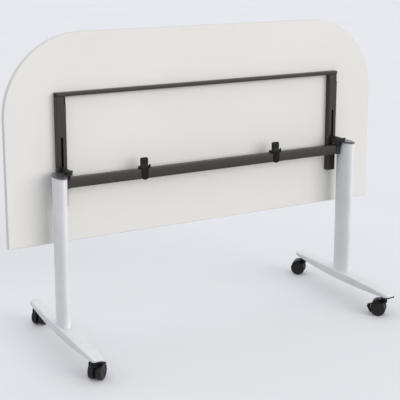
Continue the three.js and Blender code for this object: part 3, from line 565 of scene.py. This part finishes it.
def board_outline(bm):
    y = band_low.y
    corners = [(band_low.x, band_low.z), (band_high.x, band_low.z),
               (band_high.x, band_high.z), (band_low.x, band_high.z)]
    verts = [bm.verts.new((x, y, z)) for x, z in corners]
    bm.faces.new(verts)
    round_corners(bm, verts[2:], CORNER_RADIUS, CORNER_STEPS)
    return bm.faces[:]


def board_piece():
    bm = bmesh.new()
    faces = board_outline(bm)
    border = inset_edge(bm, faces, BAND_THICK + BAND_SEAM)
    bmesh.ops.delete(bm, geom=border, context="FACES")
    raise_faces(bm, bm.faces[:], board_thick)
    return place_piece(bm, "tabletop")


def band_piece():
    bm = bmesh.new()
    faces = board_outline(bm)
    inset_edge(bm, faces, BAND_THICK)
    bmesh.ops.delete(bm, geom=faces, context="FACES")
    raise_faces(bm, bm.faces[:], board_thick)
    bmesh.ops.recalc_face_normals(bm, faces=bm.faces)
    centre = (band_low + band_high) / 2

    def outside(face):
        outwards = face.normal.dot(face.calc_center_median() - centre) > 0
        return abs(face.normal.y) < EDGE_ON and outwards

    def on_rim(edge):
        meets_face = any(abs(face.normal.y) > FACE_ON for face in edge.link_faces)
        return meets_face and any(outside(face) for face in edge.link_faces)

    rim = [e for e in sharp_edges(bm, steeper_than=60) if on_rim(e)]
    soften(bm, rim, BAND_ROUND, segments=4)
    return place_piece(bm, "edge_band")


for piece in (board_piece(), band_piece()):
    print(piece.name, len(piece.data.polygons), "faces")

# %% [markdown]
# ## Columns and caps
# Each column is an oval tube that stands on its foot, closed by a dark plastic cap with a small
# overhang. A scaled cylinder would have no wall. A circle scaled to an oval, inset by the wall
# and raised, gives the tube with its wall. The cap is the same oval with a rounded rim and a
# slightly lower border, as a moulded cap has.

# %% Columns and caps
OVAL_STEPS = 96
TUBE_WALL = 2.5 * MM
TUBE_EDGE = 0.5 * MM
CAP_THICK = 5.5 * MM
CAP_ROUND = 2.2 * MM
CAP_BORDER = 3.0 * MM
CAP_CROWN = 0.5 * MM


def oval_face(bm, low, high, z):
    middle = (low + high) / 2
    half = (high - low) / 2
    made = bmesh.ops.create_circle(bm, cap_ends=True, segments=OVAL_STEPS, radius=1.0)
    bmesh.ops.scale(bm, verts=made["verts"], vec=(half.x, half.y, 1))
    bmesh.ops.translate(bm, verts=made["verts"], vec=(middle.x, middle.y, z))
    return bm.faces[:]


def column_piece(node):
    low, high = node_box(node)
    bm = bmesh.new()
    faces = oval_face(bm, low, high, low.z)
    inset_edge(bm, faces, TUBE_WALL)
    bmesh.ops.delete(bm, geom=faces, context="FACES")
    raise_faces(bm, bm.faces[:], (0, 0, high.z - low.z))
    at_top = high.z - MERGE
    top_edges = [e for e in sharp_edges(bm, steeper_than=60)
                 if min(vert.co.z for vert in e.verts) > at_top]
    soften(bm, top_edges, TUBE_EDGE, segments=2)
    return place_piece(bm, node)


def cap_piece(node):
    low, high = node_box(node)
    bm = bmesh.new()
    faces = oval_face(bm, low, high, high.z - CAP_THICK)
    top = raise_faces(bm, faces, (0, 0, CAP_THICK - CAP_CROWN))
    soften(bm, top[0].edges[:], CAP_ROUND, segments=5)
    lid = max(bm.faces, key=lambda face: face.calc_center_median().z)
    bmesh.ops.inset_region(bm, faces=[lid], thickness=CAP_BORDER, depth=CAP_CROWN)
    return place_piece(bm, node, crease=50)


for side in ("left", "right"):
    for piece in (column_piece("column_" + side), cap_piece("column_cap_" + side)):
        print(piece.name, len(piece.data.polygons), "faces")

# %% [markdown]
# ## Feet
# A foot is a white casting, widest and deepest under the column, that thins out to a round tip
# at both ends. A bevelled box would keep its straight lines. So rounded rectangles are set along
# it like ribs in a boat, and bridging one rib to the next gives a smooth bowed skin.

# %% Feet
FOOT_TOP = 106.0 * MM
FOOT_THICK = 34.0 * MM
FOOT_RISE_OF_TIP = 11.0 * MM
FOOT_DROP_OF_TIP = 10.0 * MM
FOOT_TIP_HALF = 20.0 * MM
FOOT_NOSE = 17.0 * MM
FOOT_NOSE_LIFT = 6.0 * MM
NOSE_CLOSES = 0.45
NOSE_NARROWS = 0.86
FOOT_EDGE = 4.4 * MM
EDGE_LIMIT = 0.49
EDGE_STEPS = 6
FOOT_STATIONS = 34
NOSE_STATIONS = 9


def foot_section(y, reach, middle_half):
    share = min(1.0, abs(y) / (reach - FOOT_EDGE))
    bottom = FOOT_TOP - FOOT_THICK + FOOT_RISE_OF_TIP * share ** 2
    top = FOOT_TOP - FOOT_DROP_OF_TIP * share ** 2
    half = FOOT_TIP_HALF + (middle_half - FOOT_TIP_HALF) * (1 - share ** 2)
    past = max(0.0, abs(y) - (reach - FOOT_NOSE)) / FOOT_NOSE
    fall = 1 - math.sqrt(max(0.0, 1 - past ** 2))
    bottom += FOOT_NOSE_LIFT * fall + NOSE_CLOSES * (top - bottom - FOOT_NOSE_LIFT) * fall
    top -= NOSE_CLOSES * (top - bottom) * fall
    return half * (1 - NOSE_NARROWS * fall), bottom, top


def foot_rib(bm, x, y, half_width, low, high):
    made = bmesh.ops.create_grid(bm, x_segments=1, y_segments=1, size=0.5)
    verts = made["verts"]
    bmesh.ops.scale(bm, verts=verts, vec=(2 * half_width, high - low, 1))
    bmesh.ops.rotate(bm, verts=verts, matrix=Matrix.Rotation(math.pi / 2, 3, "X"))
    bmesh.ops.translate(bm, verts=verts, vec=(x, y, (low + high) / 2))
    round_corners(bm, verts, min(FOOT_EDGE, EDGE_LIMIT * (high - low)), EDGE_STEPS)
    face = next(f for f in bm.faces if abs(f.calc_center_median().y - y) < MERGE)
    edges = face.edges[:]
    bmesh.ops.delete(bm, geom=[face], context="FACES_ONLY")
    return edges


def skin_over(bm, ribs):
    for near, far in zip(ribs, ribs[1:]):
        bmesh.ops.bridge_loops(bm, edges=near + far)
    for end in (ribs[0], ribs[-1]):
        bmesh.ops.edgeloop_fill(bm, edges=end)


def foot_piece(node):
    low, high = node_box(node)
    x, reach = (low.x + high.x) / 2, high.y
    middle_half = (high.x - low.x) / 2
    flat_end = reach - FOOT_NOSE
    stations = [flat_end * (2 * i / FOOT_STATIONS - 1) for i in range(FOOT_STATIONS + 1)]
    nose = [flat_end + FOOT_NOSE * math.sin(0.5 * math.pi * (i + 1) / NOSE_STATIONS)
            for i in range(NOSE_STATIONS)]
    stations = [-y for y in reversed(nose)] + stations + nose
    bm = bmesh.new()
    skin_over(bm, [foot_rib(bm, x, y, *foot_section(y, reach, middle_half)) for y in stations])
    return place_piece(bm, node, crease=60)


for side in ("left", "right"):
    piece = foot_piece("foot_" + side)
    print(piece.name, len(piece.data.polygons), "faces")

# %% [markdown]
# ## Beam and front rail
# The beam between the columns and the rail across the board are drawn tubes. A tube like that has
# rounded long edges, which catch the light as thin lines. A cube is scaled to the tube's box, and
# only its long edges are bevelled, because the ends are sawn off square.

# %% Beam and front rail
TUBE_CORNERS = {"crossbeam": 3.5 * MM, "front_rail": 2.0 * MM}
LONG_EDGE = 0.5


def tube_piece(node, radius):
    low, high = node_box(node)
    bm = bmesh.new()
    made = bmesh.ops.create_cube(bm, size=1.0)
    bmesh.ops.scale(bm, verts=made["verts"], vec=high - low)
    bmesh.ops.translate(bm, verts=made["verts"], vec=(low + high) / 2)
    soften(bm, [e for e in bm.edges if e.calc_length() > LONG_EDGE], radius, segments=6)
    return place_piece(bm, node)


for node, radius in TUBE_CORNERS.items():
    print(tube_piece(node, radius).name, "with", round(radius / MM, 1), "mm corners")

# %% [markdown]
# ## Channels
# The two channels are folded from sheet, so their outer corners are small bends and their cut
# ends are crisp. The slots could be cut anew, but a copy of the CAD node has them exactly where
# they belong. Only the two long bends on the face are rounded.

# %% Channels
BEND_RADIUS = 2.4 * MM
AT_CORNER = 0.05 * MM
UPRIGHT = 0.9


def channel_piece(node):
    low, high = node_box(node)
    bm = merged_copy(node)

    def on_bend(edge):
        ends = [vert.co for vert in edge.verts]
        upright = abs(ends[0].z - ends[1].z) > UPRIGHT * edge.calc_length()
        at_face = all(abs(co.y - low.y) < AT_CORNER for co in ends)
        at_side = all(min(abs(co.x - low.x), abs(co.x - high.x)) < AT_CORNER for co in ends)
        return upright and at_face and at_side

    soften(bm, [e for e in bm.edges if on_bend(e)], BEND_RADIUS, segments=5)
    return place_piece(bm, node)


for side in ("left", "right"):
    print(channel_piece("channel_" + side).name, "rounded along its bends")

# %% [markdown]
# ## Small castings and mouldings
# Saddles, arms, plugs and latch bolts have their final shape in the CAD model. What they lack is
# the radius that every casting or moulding has on its edges. A soft copy adds it and leaves the
# holes and seats where they are.

# %% Small castings and mouldings
EDGE_RADII = {
    "saddle": 0.85 * MM,
    "pivot_arm": 0.85 * MM,
    "rail_plug": 0.7 * MM,
    "latch_bolt": 0.5 * MM,
}
for stem, radius in EDGE_RADII.items():
    for side in ("left", "right"):
        piece = soft_copy(stem + "_" + side, radius)
        print(piece.name, len(piece.data.polygons), "faces")

# %% [markdown]
# ## Top rests
# The board lies on two black clips that grip the beam. Each has a post with a rolled top, so that
# it cannot dent the laminate. A bevel that wide would run into the short edges of the CAD copy.
# So the post is sliced a few times near its top, and each slice is drawn in along a quarter turn.

# %% Top rests
REST_EDGE = 0.6 * MM
REST_ROLL = 8.0 * MM
ROLL_TURN = math.radians(75)
ROLL_STEPS = 8


def roll_top(bm, top):
    start = top - REST_ROLL
    for step in range(ROLL_STEPS):
        level = start + REST_ROLL * math.sin(ROLL_TURN * step / ROLL_STEPS) / math.sin(ROLL_TURN)
        parts = bm.verts[:] + bm.edges[:] + bm.faces[:]
        bmesh.ops.bisect_plane(
            bm, geom=parts, dist=MERGE, plane_co=(0, 0, level), plane_no=(0, 0, 1)
        )
    rolled = [vert for vert in bm.verts if vert.co.z > start]
    depths = [vert.co.y for vert in rolled]
    middle = (min(depths) + max(depths)) / 2
    for vert in rolled:
        turn = math.asin(math.sin(ROLL_TURN) * (vert.co.z - start) / REST_ROLL)
        vert.co.y = middle + (vert.co.y - middle) * math.cos(turn)


def rest_piece(node):
    bm = merged_copy(node)
    soften(bm, sharp_edges(bm, steeper_than=42), REST_EDGE)
    roll_top(bm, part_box(node)[1][2])
    return place_piece(bm, node)


for side in ("left", "right"):
    piece = rest_piece("top_rest_" + side)
    print(piece.name, len(piece.data.polygons), "faces")

# %% [markdown]
# ## Caster wheels
# A caster has two wheels on one axle. Each is turned: a crowned tread, a groove where the tread
# meets the disc, and a dished disc with a domed hub. A bevelled cylinder would miss most of that.
# So one profile, in millimetres along and from the axle, is spun round it. It starts and ends on
# the axle's line, and the spin closes the hub by itself. The roll joints say where each axle lies.

# %% Caster wheels
WHEEL_PROFILE = [
    (22.2, 0.0), (22.2, 3.1), (4.5, 3.1), (4.5, 25.0), (4.7, 26.6), (5.4, 28.2), (6.8, 29.4),
    (9.0, 30.1), (12.0, 30.4), (15.0, 30.5), (18.0, 30.4), (21.0, 30.1), (23.0, 29.4),
    (24.2, 28.3), (24.8, 27.0), (24.9, 26.4), (24.2, 26.1), (24.2, 25.7), (25.1, 25.4),
    (25.5, 24.8), (25.5, 23.2), (25.2, 22.6), (24.2, 21.8), (23.4, 18.0), (22.9, 12.0),
    (22.8, 8.4), (23.1, 7.8), (23.5, 7.3), (23.8, 5.0), (24.0, 0.0),
]
WHEEL_STEPS = 72
WHEEL_HANDS = {"1": -1, "2": 1}


def axle_place(joint):
    axle = Vector(joint["axis"]).normalized()
    up = Vector((0, 0, 1))
    turn = Matrix((axle, up.cross(axle), up)).transposed().to_4x4()
    return Matrix.Translation(joint["pos_m"]) @ turn


def wheel_piece(node, joint, hand):
    bm = bmesh.new()
    verts = [bm.verts.new((hand * x * MM, 0, r * MM)) for x, r in WHEEL_PROFILE]
    edges = [bm.edges.new(pair) for pair in zip(verts, verts[1:])]
    bmesh.ops.spin(
        bm, geom=verts + edges, cent=(0, 0, 0), axis=(1, 0, 0), dvec=(0, 0, 0),
        angle=2 * math.pi, steps=WHEEL_STEPS, use_merge=True, use_duplicate=False,
    )
    bmesh.ops.transform(bm, verts=bm.verts, matrix=axle_place(joint))
    return place_piece(bm, node, crease=38)


casters = ("front_left", "front_right", "rear_left", "rear_right")
for corner in casters:
    for number, hand in WHEEL_HANDS.items():
        name = corner + "_" + number
        wheel_piece("caster_wheel_" + name, joint_of["roll_" + name], hand)
    print("wheels of", corner, "turned")

# %% [markdown]
# ## Caster hoods
# A black hood bends over each pair of wheels. Its roof fades into thin round ends, so it is made
# of ribs again: a flat U at each angle round the axle, shallower and narrower towards the ends.
# Sizes are in millimetres from the axle and angles in degrees round it, as on the wheels.

# %% Hood roof
HOOD_ANGLES = (38.0, 128.0)
HOOD_FADE = 30.0
HOOD_INSIDE = 31.5
HOOD_ROOF = 1.8
ROOF_LEFT_AT_END = 0.4
HOOD_HALF = 27.5
HOOD_NARROWING = 5.5
HOOD_SIDE = 1.2
HOOD_SKIRT = 4.2
SKIRT_LEFT_AT_END = 0.02
HOOD_CORNER = 1.6
CORNER_LIMIT = 0.8
CORNER_BULGE = 0.3
HOOD_RIBS = 30


def polar(radius, degrees):
    return radius * math.cos(math.radians(degrees)), radius * math.sin(math.radians(degrees))


def hood_rib(bm, degrees):
    first, last = HOOD_ANGLES
    reach = min(1.0, min(degrees - first, last - degrees) / HOOD_FADE)
    full = math.sqrt(1 - (1 - reach) ** 2)
    half = HOOD_HALF - HOOD_NARROWING * (1 - full)
    outer = HOOD_INSIDE + HOOD_ROOF * (ROOF_LEFT_AT_END + (1 - ROOF_LEFT_AT_END) * full)
    low = HOOD_INSIDE - SKIRT_LEFT_AT_END - HOOD_SKIRT * full
    turn = min(HOOD_CORNER, CORNER_LIMIT * (outer - low))
    bulge = CORNER_BULGE * turn
    right = [(half - turn, outer), (half - bulge, outer - bulge), (half, outer - turn),
             (half, low), (half - HOOD_SIDE, low), (half - HOOD_SIDE, HOOD_INSIDE)]
    outline = right + [(-x, radius) for x, radius in reversed(right)]
    verts = []
    for x, radius in outline:
        y, z = polar(radius, degrees)
        verts.append(bm.verts.new((x * MM, y * MM, z * MM)))
    return [bm.edges.new(pair) for pair in zip(verts, verts[1:] + verts[:1])]


def hood_roof(bm):
    first, last = HOOD_ANGLES
    turns = [first + (last - first) * i / HOOD_RIBS for i in range(HOOD_RIBS + 1)]
    skin_over(bm, [hood_rib(bm, turn) for turn in turns])


print("hood roof bends from", HOOD_ANGLES[0], "to", HOOD_ANGLES[1], "degrees")

# %% [markdown]
# ### Web and boss
# A web between the wheels carries the axle, and a round boss takes the stem. The web is a flat
# outline made into a plate. The boss is a disc drawn down to the roof, and its lower rim follows
# the curve above the wheels, so that it ends there.

# %% Web and boss
WEB_HALF = 3.7
WEB_RADIUS = 20.0
WEB_INTO_ROOF = 0.4
WEB_SETBACK = 2.0
ROOF_STEPS, AXLE_STEPS = 20, 32
BOSS_RADIUS = 13.0
BOSS_TRAIL = 21.5
BOSS_LOW, BOSS_TOP = 23.8, 45.4
BOSS_STEPS = 48
MOULD_EDGE = 0.7 * MM
PLATE_CORNER = math.radians(35)
AXLE = (0, 0)


def ring(centre, radius, start, stop, steps):
    turns = [start + (stop - start) * i / steps for i in range(steps + 1)]
    return [(centre[0] + y, centre[1] + z) for y, z in (polar(radius, turn) for turn in turns)]


def plate(bm, outline, x_low, x_high, edge=MOULD_EDGE):
    others = set(bm.edges)
    face = bm.faces.new([bm.verts.new((x_low * MM, y * MM, z * MM)) for y, z in outline])
    raise_faces(bm, [face], ((x_high - x_low) * MM, 0, 0))
    own = [e for e in bm.edges if e not in others]
    bm.normal_update()
    soften(bm, [e for e in own if e.calc_face_angle(0) > PLATE_CORNER], edge, segments=2)


def hood_web(bm):
    first, last = HOOD_ANGLES
    roof_side = ring(
        AXLE, HOOD_INSIDE + WEB_INTO_ROOF, first + WEB_SETBACK, last - WEB_SETBACK, ROOF_STEPS
    )
    axle_side = ring(AXLE, WEB_RADIUS, last, first + 360, AXLE_STEPS)
    plate(bm, roof_side + axle_side, -WEB_HALF, WEB_HALF)


def stem_boss(bm):
    made = bmesh.ops.create_circle(
        bm, cap_ends=True, segments=BOSS_STEPS, radius=BOSS_RADIUS * MM
    )
    bmesh.ops.translate(bm, verts=made["verts"], vec=(0, -BOSS_TRAIL * MM, BOSS_TOP * MM))
    cover = made["verts"][0].link_faces[0]
    lowered = raise_faces(bm, [cover], (0, 0, (BOSS_LOW - BOSS_TOP) * MM))
    for vert in lowered[0].verts:
        over_wheel = math.sqrt(max(0.0, (HOOD_INSIDE * MM) ** 2 - vert.co.y ** 2))
        vert.co.z = max(vert.co.z, over_wheel)


def hood_piece(corner, extras=()):
    bm = bmesh.new()
    for build in (hood_roof, hood_web, stem_boss, *extras):
        build(bm)
    bmesh.ops.transform(bm, verts=bm.verts, matrix=axle_place(joint_of["roll_" + corner + "_1"]))
    return place_piece(bm, "caster_hood_" + corner)


for corner in casters:
    if corner != "front_right":
        print(hood_piece(corner).name, "fades towards its ends")

# %% [markdown]
# ## Braked hood
# One caster has a brake. A lug on its hood carries the lever on a pin, and a shoe sticks out on
# the other side of the roof. Both are flat shapes seen along the axle, so a plate is enough.

# %% Braked hood
LEVER_PIN = polar(37.5, 128.0)
LEVER_MIDDLE = 20.0
LUG_HALF = 2.75
LUG_ROOTS = [(32.0, 108), (32.0, 127)]
EYE_RADIUS = 4.5
EYE_TURNS, EYE_STEPS = (80, 250), 14
PIN_RADIUS = 1.8
PIN_HALF = 5.5
PIN_TURNS, PIN_STEPS = (0, 345), 23
PIN_EDGE = 0.3 * MM
SHOE_FROM, SHOE_TO = -25.5, -8.5
SHOE_INSIDE = HOOD_INSIDE + 0.1
SHOE_TURNS, SHOE_STEPS = (-32, 60), 18
SHOE_STUB = [(33.3, 60), (33.3, 38), (44.5, 20.5), (44.5, 12.8), (37.5, -2.7), (33.3, -30)]
SHOE_EDGE = 0.65 * MM


def lever_lug(bm):
    start, stop = (polar(*root) for root in LUG_ROOTS)
    outline = [start] + ring(LEVER_PIN, EYE_RADIUS, *EYE_TURNS, EYE_STEPS) + [stop]
    plate(bm, outline, LEVER_MIDDLE - LUG_HALF, LEVER_MIDDLE + LUG_HALF)
    pin = ring(LEVER_PIN, PIN_RADIUS, *PIN_TURNS, PIN_STEPS)
    plate(bm, pin, LEVER_MIDDLE - PIN_HALF, LEVER_MIDDLE + PIN_HALF, edge=PIN_EDGE)


def brake_shoe(bm):
    outline = ring(AXLE, SHOE_INSIDE, *SHOE_TURNS, SHOE_STEPS)
    outline += [polar(*point) for point in SHOE_STUB]
    plate(bm, outline, SHOE_FROM, SHOE_TO, edge=SHOE_EDGE)


print(hood_piece("front_right", extras=(lever_lug, brake_shoe)).name, "with lug and shoe")

# %% [markdown]
# ### Brake lever
# The lever is a merged copy of its node. It grows thicker towards its tip, where a foot presses,
# and its tread is sunk inside a border, so that a sole finds grip. Moving the lower points away
# from the lever's line swells it without new geometry.

# %% Brake lever
LEVER_LENGTH = 37.0 * MM
LEVER_SWELL = 2.4 * MM
SWELL_FROM = 0.3
LEVER_EDGE = 0.6 * MM
PAD_BORDER = 1.6 * MM
PAD_DEPTH = 0.5 * MM


def thicken_tip(bm, joint):
    pivot, axle = Vector(joint["pos_m"]), Vector(joint["axis"]).normalized()
    tip = max((vert.co - pivot for vert in bm.verts), key=lambda arm: arm.length)
    along = (tip - axle * tip.dot(axle)).normalized()
    below = along.cross(axle)
    below *= -math.copysign(1, below.z)
    for vert in bm.verts:
        arm = vert.co - pivot
        if arm.dot(below) > 0 and arm.dot(along) > SWELL_FROM * LEVER_LENGTH:
            vert.co += below * LEVER_SWELL * arm.dot(along) / LEVER_LENGTH


def lever_piece(node):
    bm = merged_copy(node)
    thicken_tip(bm, joint_of["brake_press"])
    soften(bm, sharp_edges(bm, steeper_than=50), LEVER_EDGE)
    pad = max(bm.faces, key=lambda face: face.calc_area() * max(0.0, face.normal.z))
    bmesh.ops.inset_region(bm, faces=[pad], thickness=PAD_BORDER, depth=-PAD_DEPTH)
    return place_piece(bm, node)


print(lever_piece("brake_lever").name, "has a", round(PAD_DEPTH / MM, 1), "mm deep tread")
